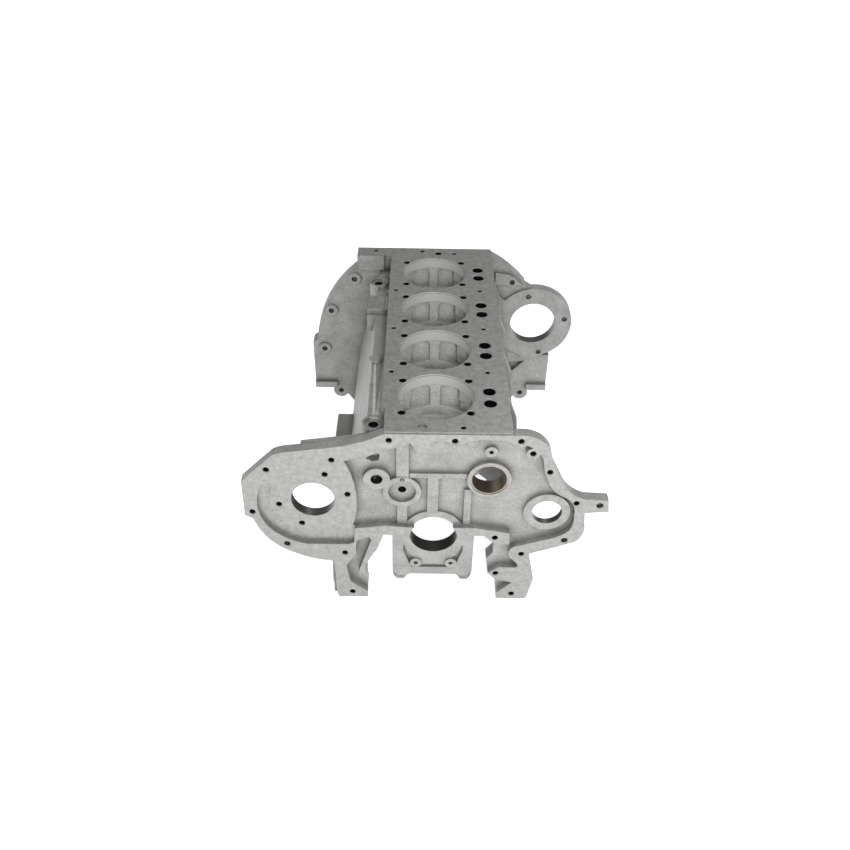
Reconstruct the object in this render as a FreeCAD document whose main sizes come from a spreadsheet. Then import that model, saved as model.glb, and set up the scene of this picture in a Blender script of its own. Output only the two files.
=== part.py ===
import FreeCAD, Part
import math
import os
import re

import Sketcher

# A bare four-cylinder crankcase of an air-cooled diesel engine, in millimetres.
# The origin is on the crankshaft axis in the plane of the timing-cover face; +X is to the right
# for someone facing the timing end, +Y runs to the flywheel end and +Z up to the deck.

doc = FreeCAD.newDocument("engine_block")
sheet = doc.addObject("Spreadsheet::Sheet", "sizes")

SIZES = {
    # main lengths
    "cylinder_pitch": 130,
    "first_cylinder": 90.5,
    "rear_overhang": 100.5,
    "deck_height": 208,
    "deck_left": 75,
    "deck_right": 110,
    "deck_thickness": 18,
    "pan_depth": 137,
    "pan_half_width": 161,
    "side_wall": 9,
    "pan_rail_width": 22,
    "pan_rail_thickness": 12,
    "pan_hole": 8.5,
    "pan_hole_spacing": 70,
    "bulkhead": 16,
    "bulkhead_rib": 13,
    "saddle_top": 148,
    # cylinder seats and deck holes
    "spigot_bore": 113,
    "spigot_lip": 2,
    "spigot_lip_depth": 2,
    "spigot_relief": 1.5,
    "stud_spread": 101.6,
    "stud_reach": 82.8,
    "stud_hole": 11,
    "stud_depth": 30,
    "stud_boss": 27,
    "hole_chamfer": 1.5,
    "tappet_bore": 19,
    "tappet_row": 81,
    "tappet_gap": 30.7,
    "tappet_shift": -1.5,
    "tappet_length": 55,
    "drain_hole": 7,
    "drain_left": 69,
    "drain_right": 81,
    # crankshaft and camshaft lines
    "crank_bore": 74.5,
    "crank_ring": 98,
    "front_bearing_face": 8,
    "cap_width": 24,
    "cap_half": 64,
    "cap_depth": 89,
    "cap_bolt_reach": 52,
    "cap_bolt": 14,
    "cap_bolt_gap": 0.4,
    "cap_bolt_bite": 30,
    "cap_bolt_head": 9,
    "cap_bolt_flats": 21,
    "cap_panel_depth": 4,
    "cap_ring": 8,
    "cam_x": 81,
    "cam_z": 117,
    "cam_bore": 52,
    "cam_bush_wall": 2.5,
    "cam_ring": 66,
    "cam_plug_thickness": 5,
    # timing end
    "front_plate": 17,
    "flange_drop": 3,
    "timing_recess": 12,
    "pump_channel": 8,
    "pump_x": -183,
    "pump_z": 78,
    "pump_bore": 66,
    "pump_bolt_circle": 106.4,
    "pump_pad": 144,
    "pump_rim": 172,
    "idler_x": -49,
    "idler_z": 90,
    "idler_boss": 58,
    "idler_seat": 42,
    "idler_seat_depth": 6,
    "idler_thread": 12,
    "gallery_x": -87,
    "gallery_z": 116,
    "gallery_hole": 18,
    "gallery_boss": 40,
    "governor_x": 173,
    "governor_z": 52,
    "governor_bore": 46,
    "governor_boss": 72,
    "boss_height": 6,
    "rib_height": 5,
    "cover_hole": 8.5,
    "cover_hole_depth": 14,
    # flywheel end
    "rear_flange": 30,
    "rear_rim": 233,
    "rear_bolt_radius": 218.5,
    "rear_hole": 10.5,
    "starter_x": 201,
    "starter_z": 63.5,
    "starter_bore": 89,
    "starter_rim": 156,
    "starter_plate": 16,
    "foot_half_width": 242,
    "foot_bottom": 98,
    "seal_bore": 130,
    "seal_depth": 12,
}

for row, (alias, value) in enumerate(SIZES.items(), start=1):
    sheet.set(f"A{row}", alias)
    sheet.set(f"B{row}", str(value))
    sheet.setAlias(f"B{row}", alias)
doc.recompute()


def bound(text):
    """The text with every size name written as the sheet's cell."""
    return re.sub(r"[a-z_]+", lambda word: "sizes." + word.group() if word.group() in SIZES else word.group(), str(text))


def value(text):
    """The number that an expression of size names gives."""
    return float(sheet.evalExpression(bound(text)))


def point(x, z):
    return FreeCAD.Vector(value(x), value(z), 0)


PLANES = {"side": "YZ_Plane", "front": "XZ_Plane", "top": "XY_Plane"}


def new_sketch(body, name, plane, at):
    """A sketch across Y, X or Z, at that distance along the axis it crosses."""
    sketch = body.newObject("Sketcher::SketchObject", name + "_sketch")
    origin_plane = next(item for item in body.Origin.OriginFeatures if item.Role == PLANES[plane])
    sketch.AttachmentSupport = [(origin_plane, "")]
    sketch.MapMode = "FlatFace"
    sign = "-" if plane == "front" else ""
    sketch.setExpression("AttachmentOffset.Base.z", f"{sign}({bound(at)})")
    return sketch


def pin_down(sketch, geometry, place, x, z):
    """Ties one point of the sketch to its coordinates."""
    where = point(x, z)
    for kind, text, number in (("DistanceX", x, where.x), ("DistanceY", z, where.y)):
        index = sketch.addConstraint(Sketcher.Constraint(kind, -1, 1, geometry, place, number))
        sketch.setExpression(f"Constraints[{index}]", bound(text))


def arc_between(start, end, radius):
    """The short arc from start to end; a positive radius turns left, a negative one right."""
    middle = (start + end) * 0.5
    chord = end - start
    height = math.sqrt(max(radius * radius - chord.Length ** 2 / 4, 0))
    left = FreeCAD.Vector(-chord.y, chord.x, 0).normalize()
    centre = middle + left * (height if radius > 0 else -height)
    first, last = (start, end) if radius > 0 else (end, start)
    begin = math.atan2(first.y - centre.y, first.x - centre.x)
    finish = math.atan2(last.y - centre.y, last.x - centre.x)
    return Part.ArcOfCircle(Part.Circle(centre, FreeCAD.Vector(0, 0, 1), abs(radius)), begin, finish)


def outline(sketch, corners, arcs=None):
    """A closed outline through the corners; arcs gives the radius of the edge that leaves a corner."""
    arcs = arcs or {}
    places = [point(*corner) for corner in corners]
    first = sketch.GeometryCount
    starts = []
    for number, start in enumerate(places):
        end = places[(number + 1) % len(places)]
        if number in arcs:
            radius = value(arcs[number])
            sketch.addGeometry(arc_between(start, end, radius))
            starts.append(1 if radius > 0 else 2)
        else:
            sketch.addGeometry(Part.LineSegment(start, end))
            starts.append(1)
    for number, corner in enumerate(corners):
        here = first + number
        before = first + (number - 1) % len(corners)
        finish = 3 - starts[(number - 1) % len(corners)]
        sketch.addConstraint(Sketcher.Constraint("Coincident", before, finish, here, starts[number]))
        pin_down(sketch, here, starts[number], *corner)
        if number in arcs:
            radius = abs(value(arcs[number]))
            index = sketch.addConstraint(Sketcher.Constraint("Radius", here, radius))
            sketch.setExpression(f"Constraints[{index}]", f"abs({bound(arcs[number])})")


def circle(sketch, x, z, diameter):
    """A circle of that diameter about a point."""
    middle = point(x, z)
    shape = Part.Circle(middle, FreeCAD.Vector(0, 0, 1), value(diameter) / 2)
    here = sketch.addGeometry(shape)
    pin_down(sketch, here, 3, x, z)
    index = sketch.addConstraint(Sketcher.Constraint("Diameter", here, value(diameter)))
    sketch.setExpression(f"Constraints[{index}]", bound(diameter))


def rectangle(sketch, left, bottom, right, top):
    outline(sketch, [(left, bottom), (right, bottom), (right, top), (left, top)])


def add(body, name, plane, at, to, draw):
    """Material from one level to another, in the outline that draw puts in a sketch."""
    sketch = new_sketch(body, name, plane, at)
    draw(sketch)
    pad = body.newObject("PartDesign::Pad", name)
    pad.Profile = sketch
    pad.setExpression("Length", bound(f"abs(({to}) - ({at}))"))
    forward = value(to) > value(at)
    pad.Reversed = forward if plane == "front" else not forward
    pad.Refine = False
    return pad


def cut(body, name, plane, at, to, draw):
    """A pocket from one level to another, in the outline that draw puts in a sketch."""
    sketch = new_sketch(body, name, plane, at)
    draw(sketch)
    pocket = body.newObject("PartDesign::Pocket", name)
    pocket.Profile = sketch
    pocket.setExpression("Length", bound(f"abs(({to}) - ({at}))"))
    forward = value(to) > value(at)
    pocket.Reversed = not forward if plane == "front" else forward
    pocket.Refine = False
    return pocket


def repeat(body, name, features, count):
    """The features again at every cylinder pitch along Y."""
    pattern = body.newObject("PartDesign::LinearPattern", name)
    pattern.Originals = features
    axis = next(item for item in body.Origin.OriginFeatures if item.Role == "Y_Axis")
    pattern.Direction = (axis, [""])
    pattern.Mode = "Spacing"
    pattern.setExpression("Offset", bound("cylinder_pitch"))
    pattern.Occurrences = count
    pattern.Refine = False
    body.Tip = pattern
    return pattern


def circles(*rows):
    """A drawing of circles, each given as x, z and diameter."""
    def draw(sketch):
        for row in rows:
            circle(sketch, *row)
    return draw


def shape(corners, arcs=None):
    """A drawing of one closed outline."""
    return lambda sketch: outline(sketch, corners, arcs)


CYLINDERS = range(4)
BEARINGS = range(5)
BLOCK_LENGTH = "(first_cylinder + 3 * cylinder_pitch + rear_overhang)"
REAR_FACE = f"({BLOCK_LENGTH} - rear_flange)"


def bore_y(number):
    return f"(first_cylinder + {number} * cylinder_pitch)"


def web_front(number):
    """The front of a bulkhead; the first and last are the end walls."""
    return f"({bore_y(number)} - cylinder_pitch / 2 - bulkhead / 2)"


case = doc.addObject("PartDesign::Body", "crankcase")
case.Label = "crankcase"

# The long box: deck, stepped left side, bulged right side and open skirt.
OUTER = [
    ("-deck_left", "deck_height"),
    ("-deck_left - 3", "deck_height - 30"),
    ("-deck_left - 28", "deck_height - 32"),
    ("-pan_half_width + 16", "0"),
    ("-pan_half_width", "-pan_depth + 14"),
    ("-pan_half_width", "-pan_depth"),
    ("pan_half_width", "-pan_depth"),
    ("pan_half_width", "-pan_depth + 14"),
    ("pan_half_width - 29", "30"),
    ("deck_right + 16", "120"),
    ("deck_right", "deck_height - 26"),
    ("deck_right", "deck_height"),
]
add(case, "long_box", "front", "timing_recess", BLOCK_LENGTH, shape(OUTER))

# The timing plate: a wide flange across the front, with a volute on the pump side and a mounting ear.
FLANGE_TOP = "deck_height - flange_drop"
PLATE = [
    ("-deck_left + 1", FLANGE_TOP),
    ("-164", "177"),
    ("-212", "170"),
    ("-238", "163"),
    ("-264", "137"),
    ("-288", "112"),
    ("-289", "44"),
    ("-277", "37"),
    ("-216", "-37"),
    ("-164", "-53"),
    ("-pan_half_width", "-68"),
    ("-pan_half_width - 1", "-104"),
    ("-pan_half_width + 13", "-pan_depth"),
    ("-106", "-pan_depth"),
    ("-106", "-90"),
    ("-95", "-37"),
    ("-78", "6"),
    ("78", "6"),
    ("96", "-10"),
    ("96", "-43"),
    ("86", "-56"),
    ("89", "-77"),
    ("102", "-92"),
    ("130", "-99"),
    ("106", "-124"),
    ("106", "-pan_depth"),
    ("pan_half_width - 8", "-pan_depth"),
    ("pan_half_width - 4", "-129"),
    ("pan_half_width + 3", "-90"),
    ("154", "-44"),
    ("153", "-32"),
    ("186", "-15"),
    ("219", "-1"),
    ("232", "35"),
    ("230", "57"),
    ("266", "60"),
    ("263", "83"),
    ("226", "85"),
    ("192", "113"),
    ("173", "152"),
    ("167", "176"),
    ("127", FLANGE_TOP),
]
PLATE_ARCS = {0: "-230", 2: "60", 7: "105", 8: "150", 11: "40", 26: "8", 32: "40", 37: "-60", 40: "46"}
add(case, "timing_plate", "front", "0", "front_plate", shape(PLATE, PLATE_ARCS))

# The flywheel plate: part of a disc round the crankshaft, a foot each side and the starter lobe.
add(case, "flywheel_plate", "front", REAR_FACE, BLOCK_LENGTH, shape([
    ("-146", "deck_height"),
    ("-146", "181.6"),
    ("-232.4", "16.5"),
    ("-foot_half_width", "10"),
    ("-foot_half_width", "-foot_bottom"),
    ("-190", "-foot_bottom"),
    ("-pan_half_width", "-pan_depth"),
    ("pan_half_width", "-pan_depth"),
    ("190", "-foot_bottom"),
    ("foot_half_width", "-foot_bottom"),
    ("foot_half_width", "-14"),
    ("180", "-14"),
    ("180", "147.9"),
    ("deck_right + 2", "204.3"),
    ("deck_right - 3", "deck_height"),
], {1: "rear_rim", 12: "rear_rim"}))
add(case, "starter_lobe", "front", REAR_FACE, f"{REAR_FACE} + starter_plate",
    circles(("starter_x", "starter_z", "starter_rim")))
LUG_TURN = math.radians(120)
add(case, "rim_lugs", "front", REAR_FACE, BLOCK_LENGTH, circles(*[
    (f"{side} * rear_bolt_radius * {math.sin(LUG_TURN):.5f}", f"rear_bolt_radius * {math.cos(LUG_TURN):.5f}", "32")
    for side in (-1, 1)]))

# Ledge details on the stepped side: tie-bolt bosses, a machined pad and an engine-mount lug.
LEDGE = "(deck_height - 32)"
LEDGE_MIDDLE = "(-deck_left - 17)"
add(case, "ledge_bosses", "top", f"{LEDGE} - 20", f"{LEDGE} + 6", circles(
    (LEDGE_MIDDLE, "first_cylinder - 32", "34"),
    (LEDGE_MIDDLE, f"{bore_y(3)} + 16", "34"),
))
add(case, "ledge_pad", "top", f"{LEDGE} - 30", f"{LEDGE} + 10",
    lambda sketch: rectangle(sketch, "-deck_left - 44", f"{bore_y(2)} + 26", "-deck_left + 2", f"{bore_y(2)} + 82"))
add(case, "mount_lug", "front", "first_cylinder + 165", "first_cylinder + 230",
    lambda sketch: rectangle(sketch, "-pan_half_width - 12", "-50", "-pan_half_width + 30", "0"))

# Four bays inside, one under each cylinder, open at the bottom.
BAY = [
    ("-deck_left + side_wall", "deck_height - deck_thickness"),
    ("-deck_left + side_wall - 2", "deck_height - 30 - side_wall"),
    ("-deck_left - 28 + side_wall", "deck_height - 34 - side_wall"),
    ("-pan_half_width + 16 + side_wall", "0"),
    ("-pan_half_width + side_wall", "-pan_depth + 12"),
    ("-pan_half_width + side_wall", "-pan_depth - 1"),
    ("pan_half_width - side_wall", "-pan_depth - 1"),
    ("pan_half_width - side_wall", "-pan_depth + 12"),
    ("pan_half_width - 29 - side_wall", "30"),
    ("deck_right + 16 - side_wall", "118"),
    ("deck_right - side_wall", "deck_height - 28"),
    ("deck_right - side_wall", "deck_height - deck_thickness"),
]
bay = cut(case, "bay", "front", f"{web_front(0)} + bulkhead", web_front(1), shape(BAY))
repeat(case, "bays", [bay], 4)

# The sump rail along the foot of each side wall.
add(case, "sump_rails", "front", "front_plate", REAR_FACE, lambda sketch: [
    rectangle(sketch, "-pan_half_width", "-pan_depth", "-pan_half_width + pan_rail_width",
              "-pan_depth + pan_rail_thickness"),
    rectangle(sketch, "pan_half_width - pan_rail_width", "-pan_depth", "pan_half_width",
              "-pan_depth + pan_rail_thickness"),
])

# Inside, each end of a bay carries stud bosses, a saddle over the bearing and an upright rib.
STUDS = [(f"{x} * stud_spread / 2", f"{bore_y(number)} + {y} * stud_reach / 2")
         for number in CYLINDERS for x in (-1, 1) for y in (-1, 1)]
TAPPETS = [("tappet_row", f"{bore_y(number)} + tappet_shift + {side} * tappet_gap / 2")
           for number in CYLINDERS for side in (-1, 1)]
DRAINS = [(x, f"{bore_y(number)} + cylinder_pitch / 2")
          for number in range(3) for x in ("-drain_left", "drain_right")]
add(case, "stud_bosses", "top", "deck_height - 5", "deck_height - stud_depth - 8",
    circles(*[(x, y, "stud_boss") for x, y in STUDS]))
add(case, "tappet_guides", "top", "deck_height - 5", "deck_height - tappet_length",
    circles(*[(x, y, "tappet_bore + 10") for x, y in TAPPETS]))
SADDLE = [
    ("-cap_half", "0"),
    ("cap_half", "0"),
    ("cap_half + 8", "30"),
    ("saddle_top * 0.5", "saddle_top * 0.866"),
    ("-saddle_top * 0.5", "saddle_top * 0.866"),
    ("-cap_half - 8", "30"),
]
RIB = [("-bulkhead_rib / 2", "saddle_top - 5"), ("bulkhead_rib / 2", "saddle_top - 5"),
       ("bulkhead_rib / 2 + 4", "deck_height - 10"), ("-bulkhead_rib / 2 - 4", "deck_height - 10")]
MIDDLE = f"({bore_y(0)} + cylinder_pitch / 2)"
saddle = add(case, "saddle", "front", f"{MIDDLE} - cap_width / 2", f"{MIDDLE} + cap_width / 2",
             shape(SADDLE, {3: "saddle_top"}))
rib = add(case, "bulkhead_rib_pad", "front", f"{MIDDLE} - cap_width / 2 + 1", f"{MIDDLE} + cap_width / 2 - 1", shape(RIB))
repeat(case, "saddles", [saddle, rib], 3)

# Below the crankshaft the bulkheads open out between the cap seats and the skirt.
BELOW = [
    ("-cap_half", "0"),
    ("-78", "6"),
    ("-95", "-37"),
    ("-106", "-90"),
    ("-106", "-pan_depth - 1"),
    ("106", "-pan_depth - 1"),
    ("106", "-95"),
    ("102", "-92"),
    ("89", "-77"),
    ("86", "-56"),
    ("96", "-43"),
    ("96", "-10"),
    ("78", "6"),
    ("cap_half", "0"),
]
cut(case, "cap_openings", "front", "-1", f"{REAR_FACE} + rear_flange - seal_depth", shape(BELOW))

# Cylinder seats, studs, tappet bores and drains through the deck.
cut(case, "spigots", "top", "deck_height", "deck_height - deck_thickness - 1",
    circles(*[("0", bore_y(number), "spigot_bore") for number in CYLINDERS]))
cut(case, "spigot_reliefs", "top", "deck_height - deck_thickness", "deck_height - 75",
    circles(*[("0", bore_y(number), "spigot_bore + 2 * spigot_relief") for number in CYLINDERS]))
cut(case, "spigot_lips", "top", "deck_height", "deck_height - spigot_lip_depth",
    circles(*[("0", bore_y(number), "spigot_bore + 2 * spigot_lip") for number in CYLINDERS]))
cut(case, "stud_holes", "top", "deck_height", "deck_height - stud_depth", circles(*[(x, y, "stud_hole") for x, y in STUDS]))
cut(case, "tappet_bores", "top", "deck_height", "deck_height - tappet_length - 1",
    circles(*[(x, y, "tappet_bore") for x, y in TAPPETS]))
cut(case, "drain_holes", "top", "deck_height", "deck_height - 14", circles(*[(x, y, "drain_hole") for x, y in DRAINS]))

SUMP_HOLES = [(f"{side} * (pan_half_width - pan_rail_width / 2)",
               f"{BLOCK_LENGTH} / 2 + {place} * pan_hole_spacing / 2")
              for side in (-1, 1) for place in (-7, -5, -3, -1, 1, 3, 5, 7)]
cut(case, "sump_holes", "top", "-pan_depth", "-pan_depth + pan_rail_thickness + 1",
    circles(*[(x, y, "pan_hole") for x, y in SUMP_HOLES]))

# The timing recess, its pump channel and what stands on its floor.
RECESS = [
    ("-134", "154"),
    ("-127", "18"),
    ("-74", "25"),
    ("-40", "22"),
    ("40", "22"),
    ("64", "22"),
    ("118", "12"),
    ("124", "3"),
    ("161", "4"),
    ("195", "15"),
    ("214", "51"),
    ("199", "87"),
    ("169", "117"),
    ("161", "137"),
    ("157", "161"),
    ("119", "181"),
    ("92", "deck_height - 22"),
    ("-47", "deck_height - 22"),
]
cut(case, "timing_chest", "front", "0", "timing_recess",
    shape(RECESS, {0: "-180", 8: "60", 9: "50", 10: "40", 11: "-50", 14: "45"}))
CHANNEL = [
    ("pump_x - 68", "pump_z + 24"),
    ("pump_x - 82", "pump_z + 26"),
    ("pump_x + 8", "pump_z - 85.6"),
    ("-127", "-10"),
    ("-122", "19"),
    ("pump_x + 40", "pump_z - 59.9"),
]
cut(case, "pump_channel_cut", "front", "0", "pump_channel",
    shape(CHANNEL, {1: "pump_rim / 2", 5: "-pump_pad / 2"}))
FLOOR = "timing_recess"
add(case, "crank_ring_boss", "front", FLOOR, "front_bearing_face", shape([
    ("-cap_half", "0"),
    ("cap_half", "0"),
    ("cap_half + 2", "22"),
    ("crank_ring * 0.44", "24"),
    ("-crank_ring * 0.44", "24"),
    ("-cap_half - 2", "22"),
], {3: "crank_ring / 2"}))
add(case, "chest_bosses", "front", FLOOR, f"{FLOOR} - boss_height", circles(
    ("idler_x", "idler_z", "idler_boss"),
    ("governor_x", "governor_z", "governor_boss"),
    ("cam_x", "cam_z + 52", "19"),
))
add(case, "chest_rings", "front", FLOOR, f"{FLOOR} - boss_height - 2", circles(
    ("gallery_x", "gallery_z", "gallery_boss"),
    ("cam_x", "cam_z", "cam_ring"),
))
add(case, "chest_ribs", "front", FLOOR, f"{FLOOR} - rib_height", lambda sketch: [
    rectangle(sketch, *rib) for rib in (
        ("idler_x - 9", "idler_z + idler_boss / 2 - 3", "idler_x + 10", "deck_height - 21"),
        ("-11", "crank_ring / 2 - 2", "6", "117"),
        ("-38", "117", "44", "126"),
        ("45", "24", "56", "93"),
        ("idler_x - 8", "24", "idler_x + 8", "idler_z - idler_boss / 2 + 3"),
    )])
add(case, "chest_pendants", "front", FLOOR, "3", lambda sketch: [
    outline(sketch, [("-34", "deck_height - 20"), ("-31", "deck_height - 30"), ("-9", "deck_height - 30"),
                     ("-6", "deck_height - 20")], {1: "12"}),
    outline(sketch, [("44", "deck_height - 20"), ("46", "deck_height - 29"), ("58", "deck_height - 29"),
                     ("60", "deck_height - 20")], {1: "7"}),
])
add(case, "chest_lug", "front", FLOOR, "0", circles(("141", "171.6", "20")))

# Cover-bolt holes round the rim, with the four of the pump pad and the two open dowel holes.
COVER_HOLES = [
    ("-68", "193"), ("-152", "155"), ("-249", "135"), ("-277", "51"), ("-139", "-35"), ("-130", "-125"),
    ("27", "193"), ("122", "194"), ("141", "171.6"), ("169", "137"), ("215", "76"), ("140", "-33.5"),
    ("131", "-126"), ("102", "-78"), ("96", "1.5"),
]
DOWEL_HOLES = [("-229", "-16.5"), ("205", "-2"), ("251", "72")]
cut(case, "cover_holes", "front", "0", "cover_hole_depth", circles(*[(x, z, "cover_hole") for x, z in COVER_HOLES]))
cut(case, "dowel_holes", "front", "0", "front_plate + 1", circles(*[(x, z, "cover_hole + 1") for x, z in DOWEL_HOLES]))
PUMP_HOLES = [(f"pump_x + pump_bolt_circle / 2 * {math.cos(math.radians(turn)):.5f}",
               f"pump_z + pump_bolt_circle / 2 * {math.sin(math.radians(turn)):.5f}") for turn in (68, 11.6, 191.6, 248)]
cut(case, "pump_holes", "front", "0", "cover_hole_depth", circles(*[(x, z, "cover_hole") for x, z in PUMP_HOLES]))
cut(case, "plate_bores", "front", "0", "front_plate + 1", circles(
    ("pump_x", "pump_z", "pump_bore"),
    ("governor_x", "governor_z", "governor_bore"),
))
cut(case, "idler_seat_cut", "front", "0", "timing_recess - boss_height + idler_seat_depth",
    circles(("idler_x", "idler_z", "idler_seat")))
cut(case, "idler_thread_cut", "front", "0", "timing_recess + 18", circles(
    ("idler_x", "idler_z", "idler_thread"),
    ("idler_x", "idler_z + idler_seat / 2 + 3", "7"),
    ("cam_x", "cam_z + 52", "6.5"),
    ("governor_x - 14", "governor_z - 36", "6"),
))
cut(case, "gallery_cut", "front", "0", f"{web_front(0)} + bulkhead + 1", circles(("gallery_x", "gallery_z", "gallery_hole")))
cut(case, "oil_window", "front", "0", "timing_recess + 14",
    shape([("-103", "150"), ("-93", "144"), ("-84", "146"), ("-82", "157"), ("-88", "161")]))

# The crankshaft and camshaft lines, bored from end to end.
cut(case, "crank_line", "front", "-1", BLOCK_LENGTH, circles(("0", "0", "crank_bore")))
cut(case, "cam_line", "front", "-1", f"{BLOCK_LENGTH} + 1", circles(("cam_x", "cam_z", "cam_bore + 2 * cam_bush_wall")))

# The flywheel end: seal recess, lightening pockets, rim holes, starter pilot and its screws.
cut(case, "seal_recess", "front", f"{BLOCK_LENGTH} + 1", f"{BLOCK_LENGTH} - seal_depth", circles(("0", "0", "seal_bore")))
RIM_TURNS = (44.5, -44.5, -67, 91, -91, 120, -120)
RIM_HOLES = [(f"rear_bolt_radius * {math.sin(math.radians(turn)):.5f}",
              f"rear_bolt_radius * {math.cos(math.radians(turn)):.5f}") for turn in RIM_TURNS]
cut(case, "rim_holes", "front", f"{REAR_FACE} - 1", f"{BLOCK_LENGTH} + 1", circles(*[(x, z, "rear_hole") for x, z in RIM_HOLES]))
cut(case, "starter_pilot", "front", f"{REAR_FACE} - 1", f"{BLOCK_LENGTH} + 1", circles(
    ("starter_x", "starter_z", "starter_bore"),
))
cut(case, "starter_relief", "front", f"{REAR_FACE} + starter_plate", f"{BLOCK_LENGTH} + 1", circles(
    ("starter_x", "starter_z", "starter_rim + 2"),
))
cut(case, "starter_screws", "front", f"{REAR_FACE} - 1", f"{REAR_FACE} + starter_plate + 1", circles(
    ("starter_x - 13", "starter_z + 60", "rear_hole"),
    ("starter_x + 63", "starter_z + 10.5", "rear_hole"),
))
cut(case, "rear_pockets", "front", f"{BLOCK_LENGTH}", f"{BLOCK_LENGTH} - rear_flange + 12", shape([
    ("-95", "20"),
    ("-95", "150"),
    ("-130", "150"),
    ("-196", "30"),
    ("-196", "-70"),
    ("-170", "-80"),
    ("-95", "-60"),
]))


def bearing_middle(number):
    """The middle of a main bearing along Y; the first sits just behind the timing face."""
    if number == 0:
        return "(front_bearing_face + cap_width / 2)"
    return f"({bore_y(number)} - cylinder_pitch / 2)"


# Main bearing caps: an inverted arch between two bolt columns, panelled on both faces.
CAP = [
    ("-cap_half", "0"),
    ("-cap_half", "-cap_depth + 5"),
    ("-cap_half + 8", "-cap_depth - 4"),
    ("-cap_half + 22", "-cap_depth - 4"),
    ("-cap_half + 27", "-cap_depth"),
    ("cap_half - 27", "-cap_depth"),
    ("cap_half - 22", "-cap_depth - 4"),
    ("cap_half - 8", "-cap_depth - 4"),
    ("cap_half", "-cap_depth + 5"),
    ("cap_half", "0"),
]
PANEL = [
    ("-cap_half + 17", "-24"),
    ("-cap_half + 17", "-36"),
    ("-cap_half + 30", "-cap_depth + 16"),
    ("cap_half - 30", "-cap_depth + 16"),
    ("cap_half - 17", "-36"),
    ("cap_half - 17", "-24"),
    ("crank_bore * 0.51 + cap_ring * 0.86", "-24"),
    ("-crank_bore * 0.51 - cap_ring * 0.86", "-24"),
]


def cap(number):
    """One cap, with the pump-pipe bosses and the bar between them on the first."""
    body = doc.addObject("PartDesign::Body", f"main_bearing_cap_{number + 1}")
    body.Label = f"main_bearing_cap_{number + 1}"
    front = f"{bearing_middle(number)} - cap_width / 2"
    back = f"{bearing_middle(number)} + cap_width / 2"
    add(body, f"cap_arch_{number + 1}", "front", front, back, shape(CAP))
    cut(body, f"cap_bore_{number + 1}", "front", front, back, circles(("0", "0", "crank_bore")))
    cut(body, f"cap_panel_front_{number + 1}", "front", front, f"{front} + cap_panel_depth",
        shape(PANEL, {6: "-(crank_bore / 2 + cap_ring)"}))
    if number == 0:
        add(body, "pipe_bosses", "front", f"{front} + cap_panel_depth", f"{front} - 3",
            circles(("-27", "-cap_depth + 28", "19"), ("29", "-cap_depth + 28", "19")))
        add(body, "pipe_bar", "front", f"{front} + cap_panel_depth", front,
            lambda sketch: rectangle(sketch, "-20", "-cap_depth + 23", "22", "-cap_depth + 32"))
        cut(body, "pipe_threads", "front", f"{front} - 4", f"{front} + 14",
            circles(("-27", "-cap_depth + 28", "7"), ("29", "-cap_depth + 28", "7")))
    else:
        cut(body, f"cap_panel_back_{number + 1}", "front", back, f"{back} - cap_panel_depth",
            shape(PANEL, {6: "-(crank_bore / 2 + cap_ring)"}))
    cut(body, f"cap_bolt_holes_{number + 1}", "top", "-cap_depth - 5", "1",
        circles(*[(f"{side} * cap_bolt_reach", bearing_middle(number), "cap_bolt + 2 * cap_bolt_gap") for side in (-1, 1)]))
    return body


caps = [cap(number) for number in BEARINGS]

cut(case, "cap_bolt_threads", "top", "-1", "cap_bolt_bite",
    circles(*[(f"{side} * cap_bolt_reach", bearing_middle(number), "cap_bolt") for number in BEARINGS for side in (-1, 1)]))

# Ten hexagon bolts hold the caps; each turns up through its cap into the casting.
bolts = doc.addObject("PartDesign::Body", "main_bearing_cap_bolts")
bolts.Label = "main_bearing_cap_bolts"
HEAD = "(-cap_depth - 4)"


def hexagons(sketch):
    for number in BEARINGS:
        for side in (-1, 1):
            corners = []
            for turn in range(6):
                angle = math.radians(60 * turn)
                corners.append((
                    f"{side} * cap_bolt_reach + cap_bolt_flats * 0.57735 * {math.cos(angle):.5f}",
                    f"{bearing_middle(number)} + cap_bolt_flats * 0.57735 * {math.sin(angle):.5f}",
                ))
            outline(sketch, corners)


add(bolts, "bolt_heads", "top", HEAD, f"{HEAD} - cap_bolt_head", hexagons)
add(bolts, "bolt_shanks", "top", HEAD, "cap_bolt_bite - 2",
    circles(*[(f"{side} * cap_bolt_reach", bearing_middle(number), "cap_bolt") for number in BEARINGS for side in (-1, 1)]))


def ring(name, plane, at, to, x, z, outer, inner):
    """A plain bush."""
    body = doc.addObject("PartDesign::Body", name)
    body.Label = name

    def draw(sketch):
        circle(sketch, x, z, outer)
        circle(sketch, x, z, inner)
    add(body, name + "_wall", plane, at, to, draw)
    return body


def disc(name, plane, at, to, x, z, diameter):
    """A plain plug."""
    body = doc.addObject("PartDesign::Body", name)
    body.Label = name
    add(body, name + "_disc", plane, at, to, circles((x, z, diameter)))
    return body


bushes = []
for number in BEARINGS:
    start = f"{FLOOR} - boss_height - 1" if number == 0 else web_front(number)
    end = f"{web_front(number)} + bulkhead"
    bushes.append(ring(f"camshaft_bush_{number + 1}", "front", start, end, "cam_x", "cam_z",
                       "cam_bore + 2 * cam_bush_wall", "cam_bore"))
plugs = [
    disc("camshaft_core_plug", "front", f"{BLOCK_LENGTH} - 1 - cam_plug_thickness", f"{BLOCK_LENGTH} - 1",
         "cam_x", "cam_z", "cam_bore + 2 * cam_bush_wall"),
]

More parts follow.
